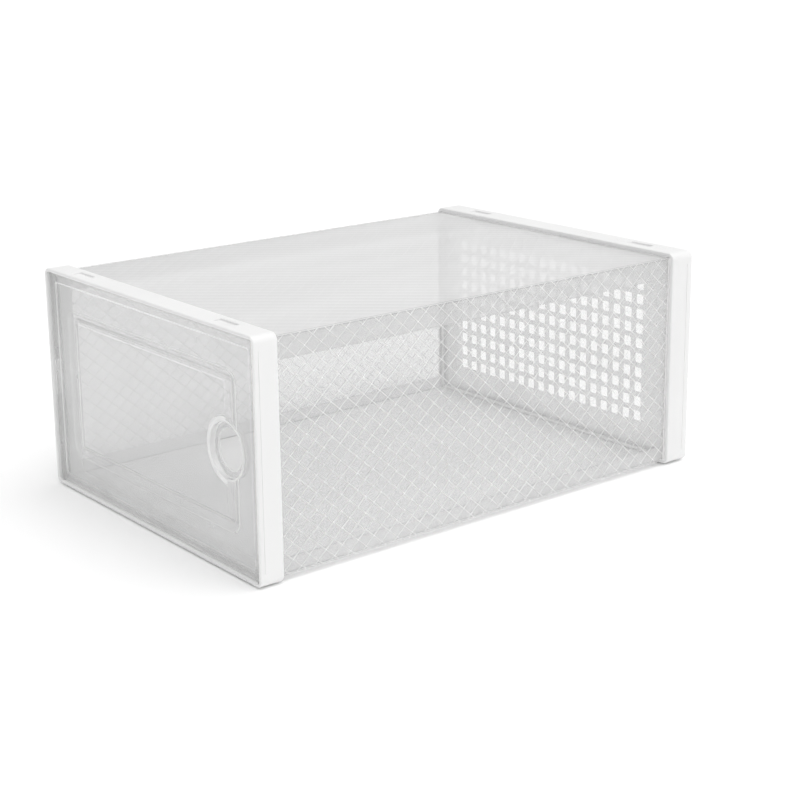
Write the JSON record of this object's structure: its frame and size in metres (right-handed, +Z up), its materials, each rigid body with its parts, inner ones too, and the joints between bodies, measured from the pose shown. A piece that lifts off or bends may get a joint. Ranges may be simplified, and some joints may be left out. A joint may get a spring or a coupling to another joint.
{
  "type": "shoe box",
  "caption": "Drop-front stackable shoe box: white sleeve frames, clear embossed sheet walls, vented back and a clear hinged door with a finger hole.",
  "frame": {"origin": "bottom centre of the box, on the surface that its feet stand on", "axes": "+Z up, +Y towards the vented back, the door faces -Y, +X to the right when facing the door"},
  "size_m": [0.23, 0.335, 0.14],
  "materials": {
    "frame_white": "moulded white polypropylene, satin gloss",
    "vent_milky": "milky translucent moulded plastic",
    "sheet_frosted": "frosted translucent sheet, faint diamond emboss",
    "sheet_clear": "clear sheet with an embossed diamond pattern",
    "door_clear": "clear moulded plastic, polished"
  },
  "bodies": {
    "shell": {"front_frame": "frame_white", "rear_frame": "frame_white", "rear_vent_panel": "vent_milky", "top_panel": "sheet_frosted", "bottom_panel": "sheet_frosted", "left_side_panel": "sheet_clear", "right_side_panel": "sheet_clear"},
    "door": {"door": "door_clear"}
  },
  "joints": [
    {"name": "door_hinge", "type": "hinge", "parent": "shell", "child": "door", "pos_m": [-0.1103, -0.1642, 0.0704], "axis": [0, 0, -1], "range_deg": [0, 105]}
  ]
}
